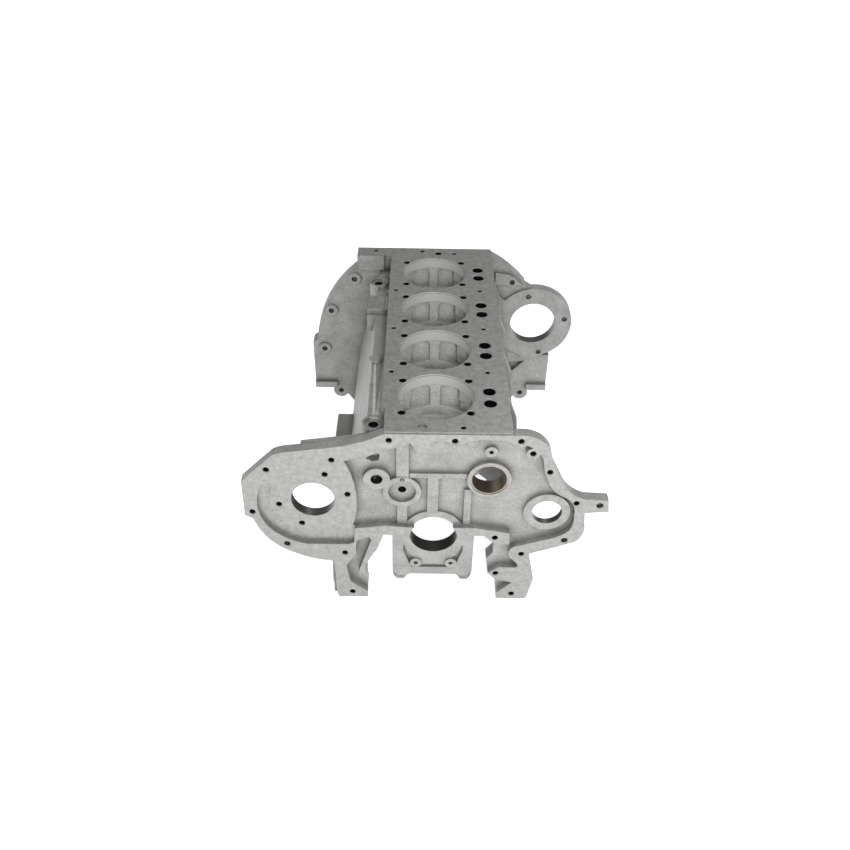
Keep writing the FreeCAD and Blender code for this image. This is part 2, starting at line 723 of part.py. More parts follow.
doc.recompute()
pieces = [case, *caps, bolts, *bushes, *plugs]
faults = [item.Name for item in doc.Objects if "Invalid" in item.State or "Error" in item.State]
if faults:
    raise RuntimeError(f"these did not build: {faults}")
os.makedirs("parts", exist_ok=True)
for piece in pieces:
    if piece.Shape.isNull() or not piece.Shape.isValid():
        raise RuntimeError(f"{piece.Label} has no valid shape")
    piece.Shape.exportStep(f"parts/{piece.Label}.step")
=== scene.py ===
import math

import bmesh
import bpy
from mathutils import Matrix, Vector


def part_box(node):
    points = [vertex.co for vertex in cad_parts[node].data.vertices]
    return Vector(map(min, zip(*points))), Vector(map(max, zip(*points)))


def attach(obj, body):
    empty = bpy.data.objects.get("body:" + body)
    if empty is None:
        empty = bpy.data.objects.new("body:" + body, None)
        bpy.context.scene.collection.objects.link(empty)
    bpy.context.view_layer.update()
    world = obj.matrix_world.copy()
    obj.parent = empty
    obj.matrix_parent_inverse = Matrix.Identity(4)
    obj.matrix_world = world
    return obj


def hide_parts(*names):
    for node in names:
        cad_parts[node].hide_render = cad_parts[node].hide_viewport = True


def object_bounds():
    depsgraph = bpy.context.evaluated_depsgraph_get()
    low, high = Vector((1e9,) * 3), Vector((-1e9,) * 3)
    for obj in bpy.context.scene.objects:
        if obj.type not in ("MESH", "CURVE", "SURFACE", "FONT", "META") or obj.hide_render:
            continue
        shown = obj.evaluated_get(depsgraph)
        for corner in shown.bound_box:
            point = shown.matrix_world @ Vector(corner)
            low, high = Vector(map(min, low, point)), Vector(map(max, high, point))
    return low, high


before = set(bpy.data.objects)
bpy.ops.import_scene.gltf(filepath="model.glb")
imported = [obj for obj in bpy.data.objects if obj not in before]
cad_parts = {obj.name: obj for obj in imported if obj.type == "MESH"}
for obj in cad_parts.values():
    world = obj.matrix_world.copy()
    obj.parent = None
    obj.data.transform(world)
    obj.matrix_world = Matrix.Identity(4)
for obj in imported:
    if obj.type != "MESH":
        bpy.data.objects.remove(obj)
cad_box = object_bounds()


# View. The block is seen from over its timing end, a little to the left of the crankshaft axis, from
# about a metre and a half. Colours go to the screen as they are, with no film curve.

EYE = Vector((-0.0275, -0.9975, 0.9869))
TURN_RIGHT = 0.011
LOOK_DOWN = 0.654
ROLL = 0.020
SENSOR_WIDTH_MM = 36.0
FOCAL_LENGTH_MM = 37.76
NEAREST_SEEN = 0.05

ahead = Vector((math.sin(TURN_RIGHT) * math.cos(LOOK_DOWN),
                math.cos(TURN_RIGHT) * math.cos(LOOK_DOWN),
                -math.sin(LOOK_DOWN)))
level_right = Vector((math.cos(TURN_RIGHT), -math.sin(TURN_RIGHT), 0.0))
level_up = level_right.cross(ahead)
view_right = level_right * math.cos(ROLL) + level_up * math.sin(ROLL)
view_up = level_up * math.cos(ROLL) - level_right * math.sin(ROLL)

lens = bpy.data.cameras.new("camera")
lens.sensor_width = SENSOR_WIDTH_MM
lens.lens = FOCAL_LENGTH_MM
lens.clip_start = NEAREST_SEEN
camera = bpy.data.objects.new("camera", lens)
turn = Matrix((view_right, view_up, -ahead)).transposed().to_4x4()
camera.matrix_world = Matrix.Translation(EYE) @ turn
bpy.context.collection.objects.link(camera)
bpy.context.scene.camera = camera
bpy.context.scene.view_settings.view_transform = "Standard"


# Studio. A light table: a large white floor at the level of the sump face that glows a little, so that it
# stays white under the block and its light comes up through the bays. Three soft boxes light the iron: one
# high behind the flywheel end, one low before the timing end and the smallest at eye level.

def node(tree, kind, settings=None, **inputs):
    """One node. An input is given by its name or by i and its number, as a value or a node's output."""
    made = tree.nodes.new(kind)
    for key, setting in (settings or {}).items():
        setattr(made, key, setting)
    for key, given in inputs.items():
        numbered = key[0] == "i" and key[1:].isdigit()
        socket = made.inputs[int(key[1:]) if numbered else key.replace("_", " ")]
        if isinstance(given, bpy.types.NodeSocket):
            tree.links.new(given, socket)
        else:
            socket.default_value = given
    return made


def linear(code):
    """The linear colour of an sRGB hex code."""
    parts = [int(code[place:place + 2], 16) / 255 for place in (1, 3, 5)]
    parts = [part / 12.92 if part <= 0.04045 else ((part + 0.055) / 1.055) ** 2.4 for part in parts]
    return (*parts, 1.0)


def new_material(name):
    """An empty material and its node tree."""
    material = bpy.data.materials.new(name)
    material.use_nodes = True
    material.node_tree.nodes.clear()
    return material, material.node_tree


FLOOR_COLOUR = "#FBFBFB"
FLOOR_HALF_SIZE = 80.0
TABLE_GLOW = 0.85
ROOM_GLOW = 0.4

floor_level = cad_box[0][2]
floor_corners = [(x * FLOOR_HALF_SIZE, y * FLOOR_HALF_SIZE, floor_level)
                 for x, y in ((-1, -1), (1, -1), (1, 1), (-1, 1))]
floor_mesh = bpy.data.meshes.new("floor")
floor_mesh.from_pydata(floor_corners, [], [(0, 1, 2, 3)])
floor = bpy.data.objects.new("floor", floor_mesh)
bpy.context.collection.objects.link(floor)
matt_white, tree = new_material("matt_white_board")
shade = node(tree, "ShaderNodeBsdfPrincipled", Base_Color=linear(FLOOR_COLOUR), Roughness=0.9,
             Emission_Color=linear(FLOOR_COLOUR), Emission_Strength=TABLE_GLOW)
node(tree, "ShaderNodeOutputMaterial", Surface=shade.outputs[0])
floor_mesh.materials.append(matt_white)

world = bpy.data.worlds.new("room")
bpy.context.scene.world = world
world.use_nodes = True
room_light = world.node_tree.nodes["Background"]
room_light.inputs["Color"].default_value = (1.0, 1.0, 1.0, 1.0)
room_light.inputs["Strength"].default_value = ROOM_GLOW

block_middle = Vector(((cad_box[0][0] + cad_box[1][0]) / 2, (cad_box[0][1] + cad_box[1][1]) / 2, 0.0))


def softbox(name, place, size, watts):
    """A square area light that faces the middle of the block."""
    light = bpy.data.lights.new(name, "AREA")
    light.shape = "SQUARE"
    light.size = size
    light.energy = watts
    lamp = bpy.data.objects.new(name, light)
    lamp.location = place
    lamp.rotation_euler = (block_middle - lamp.location).to_track_quat("-Z", "Y").to_euler()
    bpy.context.collection.objects.link(lamp)


softbox("overhead_softbox", place=Vector((0.7, 1.3, 2.2)), size=1.2, watts=13.0)
softbox("front_softbox", place=Vector((0.5, -1.8, 0.9)), size=0.8, watts=4.0)
softbox("eye_level_softbox", place=Vector((0.15, -1.15, 1.0)), size=0.4, watts=13.5)


# Crankcase. A grey-iron casting poured in sand, open at the foot, with the deck for the separate barrels
# on top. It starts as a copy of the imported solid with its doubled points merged; the timing end is cut
# back to the front wall and built up again with the finer outlines of the real casting.

MM = 0.001
DECK = cad_box[1][2] / MM
SUMP_FACE = cad_box[0][2] / MM
FLYWHEEL_FACE = cad_box[1][1] / MM
MERGE_MM = 0.001
ARC_STEP = math.radians(8)
FEWEST_SIDES = 20
MOST_SIDES = 96
SIDES_PER_MM = 1.2


def merged_copy(node_name, piece_name):
    """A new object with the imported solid's faces, its doubled points merged and nothing else kept."""
    raw = bmesh.new()
    raw.from_mesh(bpy.data.objects[node_name].data)
    bmesh.ops.remove_doubles(raw, verts=raw.verts, dist=MERGE_MM * MM)
    raw.verts.index_update()
    mesh = bpy.data.meshes.new(piece_name)
    mesh.from_pydata([corner.co[:] for corner in raw.verts], [],
                     [[corner.index for corner in face.verts] for face in raw.faces])
    raw.free()
    piece = bpy.data.objects.new(piece_name, mesh)
    bpy.context.collection.objects.link(piece)
    return piece


casting = merged_copy("crankcase", "crankcase_casting")


def ring(a, b, diameter, sides=None):
    """The points of a circle, with more of them on a larger one."""
    sides = sides or int(min(MOST_SIDES, max(FEWEST_SIDES, diameter * SIDES_PER_MM)))
    return [(a + diameter / 2 * math.cos(step * math.tau / sides),
             b + diameter / 2 * math.sin(step * math.tau / sides)) for step in range(sides)]


def box(a0, b0, a1, b1):
    """The four points of a rectangle."""
    return [(a0, b0), (a1, b0), (a1, b1), (a0, b1)]


def curved(corners, arcs):
    """The points of an outline; arcs gives the radius of the edge after a corner, positive to the left."""
    points = []
    for number, start in enumerate(corners):
        points.append(start)
        if number not in arcs:
            continue
        first, last = Vector(start), Vector(corners[(number + 1) % len(corners)])
        radius = arcs[number]
        chord = last - first
        height = math.sqrt(max(radius ** 2 - chord.length_squared / 4, 0))
        side = Vector((-chord.y, chord.x)).normalized() * math.copysign(height, radius)
        centre = (first + last) / 2 + side
        sweep = math.copysign(2 * math.asin(min(1.0, chord.length / 2 / abs(radius))), radius)
        steps = max(2, round(abs(sweep) / ARC_STEP))
        spoke = first - centre
        for step in range(1, steps):
            turn = sweep * step / steps
            points.append((centre.x + spoke.x * math.cos(turn) - spoke.y * math.sin(turn),
                           centre.y + spoke.x * math.sin(turn) + spoke.y * math.cos(turn)))
    return points


def prisms(axis, start, end, near_outlines, far_outlines):
    """An object of closed prisms, each from its near outline at one level to its far one at the other."""
    place = {"y": lambda a, b, level: (a * MM, level * MM, b * MM),
             "z": lambda a, b, level: (a * MM, b * MM, level * MM)}[axis]
    shape = bmesh.new()
    for near, far in zip(near_outlines, far_outlines):
        low = [shape.verts.new(place(a, b, start)) for a, b in near]
        high = [shape.verts.new(place(a, b, end)) for a, b in far]
        shape.faces.new(low)
        shape.faces.new(high[::-1])
        for number in range(len(low)):
            after = (number + 1) % len(low)
            shape.faces.new((low[number], low[after], high[after], high[number]))
    bmesh.ops.recalc_face_normals(shape, faces=shape.faces)
    mesh = bpy.data.meshes.new("prisms")
    shape.to_mesh(mesh)
    shape.free()
    body = bpy.data.objects.new("prisms", mesh)
    bpy.context.collection.objects.link(body)
    return body


def shape_casting(operation, body):
    """Joins a body to the casting or cuts it out, then deletes the body."""
    step = casting.modifiers.new("shape", "BOOLEAN")
    step.object = body
    step.operation = operation
    step.solver = "MANIFOLD"
    shaped = bpy.data.meshes.new_from_object(casting.evaluated_get(bpy.context.evaluated_depsgraph_get()))
    casting.modifiers.remove(step)
    before, casting.data = casting.data, shaped
    used = body.data
    bpy.data.objects.remove(body)
    for mesh in (before, used):
        bpy.data.meshes.remove(mesh)


def add_iron(axis, start, end, outlines):
    """Casts prisms on to the block, between two levels along an axis."""
    shape_casting("UNION", prisms(axis, start, end, outlines, outlines))


def cut_iron(axis, start, end, outlines, far_outlines=None):
    """Cuts prisms out of the block; far outlines of their own make them taper."""
    shape_casting("DIFFERENCE", prisms(axis, start, end, outlines, far_outlines or outlines))


# Timing plate, cast in one with the block: a wide flange with the pump volute on one side, a mounting ear
# on the other and two legs down to the sump. Its face is milled, and a slab backs up the volute.

CUT_CLEAR = 1
FLANGE_TOP = DECK - 3
PLATE_BACK = 17
CHEST_FLOOR = 12
LEFT_OPENING = [(-105, SUMP_FACE), (-105, -124), (-103, -100), (-108, -80), (-108, -62), (-87, -23), (-78, 6)]
RIGHT_OPENING = [(96, -10), (96, -43), (86, -56), (89, -77), (102, -92)]
PLATE = [
    (-74, FLANGE_TOP), (-164, 177), (-212, 170), (-238, 163), (-264, 137), (-288, 112), (-289, 44),
    (-277, 37), (-216, -37), (-160, -53), (-157, -61), (-155, -129), (-152, SUMP_FACE), *LEFT_OPENING,
    (78, 6), *RIGHT_OPENING, (130, -99), (106, -124), (106, SUMP_FACE), (153, SUMP_FACE), (157, -129),
    (164, -90), (154, -44), (153, -32), (188, -19), (222, -5), (232, 35), (230, 57), (266, 60), (263, 83),
    (226, 85), (192, 113), (173, 152), (167, 176), (127, FLANGE_TOP),
]
PLATE_ARCS = {0: -230, 2: 60, 7: 105, 8: 150, 29: 8, 35: 40, 40: -60, 43: 46}
PACKED_FRONT = box(-320, -160, 320, 240)
VOLUTE_SLAB = [(-198, 120), (-100, 120), (-100, 186), (-130, 180.5), (-164, 175), (-198, 170)]
VOLUTE_SLAB_BACK = PLATE_BACK + 11
DECK_NOSE = box(-75, DECK - 14, 110, DECK)
DECK_NOSE_FRONT = 2
cut_iron("y", -20, CHEST_FLOOR, [PACKED_FRONT])
add_iron("y", 0, PLATE_BACK, [curved(PLATE, PLATE_ARCS)])
add_iron("y", PLATE_BACK - 1, VOLUTE_SLAB_BACK, [VOLUTE_SLAB])
add_iron("y", DECK_NOSE_FRONT, CHEST_FLOOR + 1, [DECK_NOSE])

# Timing chest: the gear recess, with a shallower channel that curls round the pump pad, a pocket down the
# left leg and the opening under the front bearing. All of it is left as cast.

CHANNEL_FLOOR = 8
POCKET_FLOOR = CHEST_FLOOR + 0.01
RECESS = [
    (-134, 154), (-127, 18), (-74, 25), (-40, 22), (40, 22), (64, 22), (118, 12), (120, -12), (94, -12),
    (94, -43), (84, -56), (87, -78), (106, -64), (130, -64), (136, -57), (127, -46), (135, -15), (184, 2),
    (210, 19), (214, 51), (199, 87), (169, 117), (161, 137), (157, 161), (131, 187), (114, 188),
    (99, 195.5), (63, 196.5), (44, 191), (16, 192), (-3, 192.5), (-8, 179), (-30, 177), (-37, 188.5),
    (-95, 166),
]
RECESS_ARCS = {0: -180, 13: 5, 15: -17, 17: 60, 18: 50, 19: 40, 20: -50, 23: 45, 24: -12, 28: -24, 31: -11.6}
CHANNEL = [(-243.8, 101), (-258, 106), (-256, 21), (-197, -16), (-133, -16), (-124, -12), (-122, 19),
           (-145.2, 25.1)]
CHANNEL_ARCS = {1: 85, 2: 94, 7: -65}
LEFT_LEG_POCKET = [
    (-120, -8), (-121.5, -27), (-122, -39), (-128, -48), (-138, -64), (-134, -95), (-131, -102),
    (-104, -125), (-102, -100), (-107, -81), (-119, -79), (-97, -6), (-101, 1),
]
SKIRT_OPENING = [(-105, SUMP_FACE - CUT_CLEAR), *LEFT_OPENING[1:], (-64, 0), (64, 0), (78, 6),
                 *RIGHT_OPENING, (106, -95), (106, SUMP_FACE - CUT_CLEAR)]
SKIRT_OPENING_BACK = 34
cut_iron("y", -CUT_CLEAR, CHEST_FLOOR, [curved(RECESS, RECESS_ARCS)])
cut_iron("y", -CUT_CLEAR, CHANNEL_FLOOR, [curved(CHANNEL, CHANNEL_ARCS)])
cut_iron("y", -CUT_CLEAR, POCKET_FLOOR, [LEFT_LEG_POCKET])
cut_iron("y", -CUT_CLEAR, SKIRT_OPENING_BACK, [SKIRT_OPENING])

# Bosses, rings and ribs on the floor of the timing chest, for the crankshaft, camshaft, idler, governor and
# oil gallery. Their tops are faced, and each is rooted a little way into the floor.

IDLER = (-49, 90)
CAMSHAFT = (81, 117)
GOVERNOR = (173, 52)
GALLERY = (-87, 116)
SPRAY_JET = (81, 169)
SCREW_LUG = (141, 171.6)
WEB_FACE = 3
RING_FACE = 4
BOSS_FACE = 6
RIB_FACE = 7
BEARING_FACE = 8
ROOT = CHEST_FLOOR + 0.5
FRONT_BEARING = [(-64, 0), (64, 0), (66, 22), (43.1, 24), (-43.1, 24), (-66, 22)]
FRONT_BEARING_ARCS = {3: 49}
CHEST_RIBS = [box(-58, 116, -39, 187), box(-11, 47, 6, 119), box(-38, 117, 48, 126), box(45, 23, 56, 95),
              box(-57, 23, -41, 64)]
CORNER_WEB = [(45, 193), (46, 181), (57, 181), (61, 186), (62, 197)]
CORNER_WEB_ARCS = {2: 7}
GALLERY_RING = 40
IDLER_BOSS = 58
CAMSHAFT_RING = 66
GOVERNOR_BOSS = 72
JET_BOSS = 19
LUG = 20
add_iron("y", BEARING_FACE, ROOT, [curved(FRONT_BEARING, FRONT_BEARING_ARCS)])
add_iron("y", RING_FACE, ROOT, [ring(*GALLERY, GALLERY_RING)])
add_iron("y", BOSS_FACE, ROOT, [ring(*IDLER, IDLER_BOSS)])
add_iron("y", RING_FACE, ROOT, [ring(*CAMSHAFT, CAMSHAFT_RING)])
add_iron("y", BOSS_FACE, ROOT, [ring(*GOVERNOR, GOVERNOR_BOSS), ring(*SPRAY_JET, JET_BOSS)])
for rib in CHEST_RIBS:
    add_iron("y", RIB_FACE, ROOT, [rib])
add_iron("y", WEB_FACE, ROOT, [curved(CORNER_WEB, CORNER_WEB_ARCS)])
add_iron("y", 0, ROOT, [ring(*SCREW_LUG, LUG)])

# Bores and holes of the timing end. The shaft bores and dowel holes go through the plate, the screws are
# drilled blind, and a small window beside the gallery lets oil back into the chest.

PUMP = (-183, 78)
PUMP_SCREW_RADIUS = 53.2
PUMP_SCREW_TURNS = (68, 11.6, 191.6, 248)
PUMP_SCREWS = [(PUMP[0] + PUMP_SCREW_RADIUS * math.cos(math.radians(turn)),
                PUMP[1] + PUMP_SCREW_RADIUS * math.sin(math.radians(turn))) for turn in PUMP_SCREW_TURNS]
COVER_SCREWS = [(-68, 193), (-152, 155), (-249, 135), (-277, 51), (-139, -35), (-130, -125), (27, 193),
                (122, 194), SCREW_LUG, (169, 137), (215, 76), (140, -33.5), (131, -126), (102, -78),
                (96, 1.5)]
DOWELS = [(-229, -16.5), (205, -2), (251, 72)]
IDLER_OIL_HOLE = (-49, 114, 7)
LOW_DRAIN = (159, 16, 6)
OIL_WINDOW = [(-103, 150), (-93, 144), (-84, 146), (-82, 157), (-88, 161)]
CRANK_BORE = 74.5
CAMSHAFT_BORE = 57
PUMP_BORE = 66
GOVERNOR_BORE = 46
IDLER_SEAT = 42
IDLER_THREAD = 12
GALLERY_HOLE = 18
JET_HOLE = 6.5
SCREW_HOLE = 8.5
DOWEL_HOLE = 9.5
SCREW_DEPTH = 14
OIL_HOLE_DEPTH = 30
GALLERY_DEPTH = 33.5
WINDOW_DEPTH = 26
THROUGH_PLATE = PLATE_BACK + CUT_CLEAR
cut_iron("y", -CUT_CLEAR, SCREW_DEPTH, [ring(*at, SCREW_HOLE) for at in COVER_SCREWS + PUMP_SCREWS])
cut_iron("y", -CUT_CLEAR, THROUGH_PLATE, [ring(*at, DOWEL_HOLE) for at in DOWELS])
cut_iron("y", -CUT_CLEAR, THROUGH_PLATE,
         [ring(*PUMP, PUMP_BORE), ring(*GOVERNOR, GOVERNOR_BORE), ring(0, 0, CRANK_BORE)])
cut_iron("y", -CUT_CLEAR, THROUGH_PLATE, [ring(*CAMSHAFT, CAMSHAFT_BORE)])
cut_iron("y", -CUT_CLEAR, CHEST_FLOOR, [ring(*IDLER, IDLER_SEAT)])
cut_iron("y", -CUT_CLEAR, OIL_HOLE_DEPTH, [ring(*IDLER, IDLER_THREAD), ring(*IDLER_OIL_HOLE),
                                           ring(*SPRAY_JET, JET_HOLE), ring(*LOW_DRAIN)])
cut_iron("y", -CUT_CLEAR, GALLERY_DEPTH, [ring(*GALLERY, GALLERY_HOLE)])
cut_iron("y", -CUT_CLEAR, WINDOW_DEPTH, [OIL_WINDOW])

# Deck and ledge. The deck is milled and carries the barrels; on the pump side it steps down to a ledge with
# tie-bolt bosses, a small round boss and a pad, and a strip of the deck runs on beside it to a rear block.

LEDGE = DECK - 32
FIRST_CYLINDER = 90.5
PITCH = 130
CYLINDERS = [FIRST_CYLINDER + number * PITCH for number in range(4)]
DECK_STRIP = [(-81, 64), (-73, 58), (-73, 566), (-97, 566), (-97, 550), (-81, 548)]
REAR_BLOCK = box(-146, 544.6, -95, 566)
LEDGE_HOLLOW = box(-130, 470, -81.5, 522)
SMALL_BOSS = (-98, 233, 20)
TIE_BOLTS = [(-93, 57), (-103, 492)]
TIE_BOSS = 34
TIE_SPOT_FACE = 27
TIE_HOLE = 15
PAD = box(-119, 383, -88, 429)
PAD_GAPS = [box(-125, 374, -81, 383), box(-122, 429, -81, 436)]
TIE_BOSS_TOP = LEDGE + 6.5
TIE_SEAT = LEDGE + 2
PAD_FACE = LEDGE + 11
add_iron("z", LEDGE + 4, DECK, [DECK_STRIP])
add_iron("z", LEDGE + 2, DECK, [REAR_BLOCK])
cut_iron("z", LEDGE, LEDGE + 8, [LEDGE_HOLLOW])
add_iron("z", LEDGE - 2, LEDGE + 5, [ring(*SMALL_BOSS)])
add_iron("z", LEDGE - 20, TIE_BOSS_TOP, [ring(*at, TIE_BOSS) for at in TIE_BOLTS])
cut_iron("z", TIE_SEAT, DECK + CUT_CLEAR, [ring(*at, TIE_SPOT_FACE) for at in TIE_BOLTS])
cut_iron("z", LEDGE - 30, DECK, [ring(*at, TIE_HOLE) for at in TIE_BOLTS])
add_iron("z", LEDGE, PAD_FACE, [PAD])
cut_iron("z", LEDGE + 1, PAD_FACE + CUT_CLEAR, PAD_GAPS)

# Flywheel plate: a boss round each rim screw, a pad above the starter lobe and a lip along the foot of each
# side, all cast on its front.

PLATE_FRONT = FLYWHEEL_FACE - 30
RIM_RADIUS = 218.5
RIM_TURNS = (-44.5, -67, -91, 44.5)
RIM_SCREWS = [(RIM_RADIUS * math.sin(math.radians(turn)), RIM_RADIUS * math.cos(math.radians(turn)))
              for turn in RIM_TURNS]
RIM_BOSS = 26
RIM_HOLE = 10.5
UPPER_PAD = [(120, 150), (174, 150), (160, 163), (148, 172), (120, 176)]
FOOT_LIPS = [box(-242, -98, -196, -84), box(200, -98, 242, -84)]
RIM_BOSS_FACE = PLATE_FRONT - 2.5
UPPER_PAD_FACE = PLATE_FRONT - 6
LIP_FACE = PLATE_FRONT - 7
PLATE_ROOT = PLATE_FRONT + 1
add_iron("y", RIM_BOSS_FACE, PLATE_ROOT, [ring(*at, RIM_BOSS) for at in RIM_SCREWS])
add_iron("y", UPPER_PAD_FACE, PLATE_ROOT, [UPPER_PAD])
add_iron("y", LIP_FACE, PLATE_ROOT, FOOT_LIPS)
cut_iron("y", LIP_FACE - CUT_CLEAR, PLATE_FRONT + 3, [ring(*at, RIM_HOLE) for at in RIM_SCREWS])

# Starter lobe: its face stands a little proud of the plate, runs down to a point beside the third screw
# and is blended into the rim; below it the foot has a three-cornered hollow.

STARTER = (201, 63.5)
STARTER_LOBE = 155.6
STARTER_BORE = 89
STARTER_SCREWS = [(188, 123.5), (264, 74), (218.5, -3.8)]
LOBE_FRONT = PLATE_FRONT - 4
LOBE_BACK = PLATE_FRONT + 15
RIM_BLEND = [(168, 158), (184, 147), (194, 141), (198, 124), (168, 124)]
LOBE_POINT = [(128, 128), (150, 34), (185, -19), (212, -20), (230, -8), (201, 60)]
FOOT_HOLLOW = [(192, -29), (168, -54), (160, -32)]
add_iron("y", PLATE_FRONT, LOBE_BACK, [RIM_BLEND])
add_iron("y", LOBE_FRONT, LOBE_BACK, [ring(*STARTER, STARTER_LOBE)])
add_iron("y", LOBE_FRONT, LOBE_BACK, [LOBE_POINT])
cut_iron("y", LOBE_FRONT - CUT_CLEAR, LOBE_BACK + 2, [ring(*STARTER, STARTER_BORE)])
cut_iron("y", LOBE_FRONT - CUT_CLEAR, LOBE_BACK + 2, [ring(*at, RIM_HOLE) for at in STARTER_SCREWS])
cut_iron("y", PLATE_FRONT - CUT_CLEAR, PLATE_FRONT + 8, [FOOT_HOLLOW])

# Deck holes: barrel studs, tappet bores, oil drains, tapped holes at the rear and the oil feed. Most were
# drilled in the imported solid; those it lacks are drilled here, and each mouth gets a small chamfer.

STUDS = [(side * 50.8, y + end * 41.4) for y in CYLINDERS for side in (-1, 1) for end in (-1, 1)]
TAPPETS = [(81, y - 1.5 + end * 15.35) for y in CYLINDERS for end in (-1, 1)]
DRAINS = [(x, y + PITCH / 2) for y in CYLINDERS[:3] for x in (-69, 81)]
EXTRA_DRAINS = [(39, 14), (-81, 531.5), (39, 560.5)]
FLANGE_SCREWS = [(-111, 569.5), (-22, 569)]
FRONT_PLUG = (-20, 14)
OIL_FEED = (8.5, 560.5)
STUD_HOLE = 11
TAPPET_BORE = 19
DRAIN_HOLE = 7
FLANGE_HOLE = 8
PLUG_SEAT = 14
FEED_HOLE = 12
BLIND_FLOOR = DECK - 14
PLUG_FLOOR = DECK - 3
DECK_CLEAR = DECK + CUT_CLEAR
CHAMFER = 1.3
CONE_SIDES = 24
MOUTH_FIT = 0.02
cut_iron("z", BLIND_FLOOR, DECK_CLEAR, [ring(*at, DRAIN_HOLE) for at in EXTRA_DRAINS])
cut_iron("z", BLIND_FLOOR, DECK_CLEAR, [ring(*at, FLANGE_HOLE) for at in FLANGE_SCREWS])
cut_iron("z", PLUG_FLOOR, DECK_CLEAR, [ring(*FRONT_PLUG, PLUG_SEAT)])
cut_iron("z", BLIND_FLOOR, DECK_CLEAR, [ring(*OIL_FEED, FEED_HOLE)])


def countersink(axis, face, inward, holes):
    """A short cone at the mouth of each hole; inward is the way the drill went."""
    cut_iron(axis, face - inward * CHAMFER, face + inward * CHAMFER,
             [ring(a, b, width + 4 * CHAMFER, CONE_SIDES) for a, b, width in holes],
             [ring(a, b, width - MOUTH_FIT, CONE_SIDES) for a, b, width in holes])


def sized(places, width):
    """Each place with the width of its hole."""
    return [(*at, width) for at in places]


DECK_HOLES = (sized(STUDS, STUD_HOLE) + sized(TAPPETS, TAPPET_BORE) + sized(DRAINS + EXTRA_DRAINS, DRAIN_HOLE)
              + sized(FLANGE_SCREWS, FLANGE_HOLE) + sized([OIL_FEED], FEED_HOLE))
PLATE_HOLES = sized(COVER_SCREWS + PUMP_SCREWS, SCREW_HOLE) + sized(DOWELS, DOWEL_HOLE)
countersink("z", DECK, -1, DECK_HOLES)
countersink("y", 0, 1, PLATE_HOLES)

# Bulkheads between the bays. Each face has two shallow panels beside an upright rib, which spreads into the
# saddle below and the deck above; the last bulkhead has them on its front only.

BULKHEADS = [y + PITCH / 2 for y in CYLINDERS]
BULKHEAD_HALF = 8
PANEL_DEPTH = 5
PANEL_TOP = DECK - 19
PANEL = [(8, 149), (40, 144), (40, PANEL_TOP - 9), (31, PANEL_TOP), (17, PANEL_TOP), (8, PANEL_TOP - 9)]
PANEL_ARCS = {0: -158, 2: 9, 4: 9}
right_panel = curved(PANEL, PANEL_ARCS)
panels = [right_panel, [(-x, z) for x, z in right_panel]]
for middle in BULKHEADS:
    cut_iron("y", middle - BULKHEAD_HALF - 0.5, middle - BULKHEAD_HALF + PANEL_DEPTH, panels)
for middle in BULKHEADS[:3]:
    cut_iron("y", middle + BULKHEAD_HALF - PANEL_DEPTH, middle + BULKHEAD_HALF + 0.5, panels)

# Right-hand wall: a stiffening rib outside each bulkhead, and the swelling of the main oil gallery, which
# is drilled along the wall.

WALL_RIB = [(112, 176), (133, 122), (140, 34), (161, -72), (150, -90), (122, 30), (104, 150)]
WALL_RIB_HALF = 5
GALLERY_SWELL = [(124, 70), (124, 42), (133, 40), (138, 44), (141, 52), (139, 62), (133, 70)]
GALLERY_SWELL_FRONT = 20
for middle in BULKHEADS:
    add_iron("y", middle - WALL_RIB_HALF, middle + WALL_RIB_HALF, [WALL_RIB])
add_iron("y", GALLERY_SWELL_FRONT, PLATE_FRONT + 2, [GALLERY_SWELL])

# Sand-cast skin. Grey iron as it leaves the sand is matt and pitted, with darker blotches, painted shade in
# its corners and rounded edges. Inside the crankcase a paler copy of it is painted light, so that the
# bulkheads read as lit through the bores.
# Real sand grain is about 0.3 mm; the pits and specks are drawn coarser, so that they show.

SKIN_LIGHT = "#A8A8A6"
SKIN_DARK = "#838381"
# Painted light: the tones for the inside of the crankcase are much paler than the skin, so the bays look lit.
INSIDE_LIT_PAINTED_PALE = "#DEDEDC"
INSIDE_LIT_PAINTED_DEEP = "#BEBEBC"
SAND_GRAIN_MM = 1.6
SPECK_MM = 4.0
BLOTCH_MM = 30.0
# Reach of the painted shade in the corners.
CORNER_SHADE_MM = 14.0
EDGE_ROUND_MM = 2.5
PIT_DEPTH_MM = 0.6


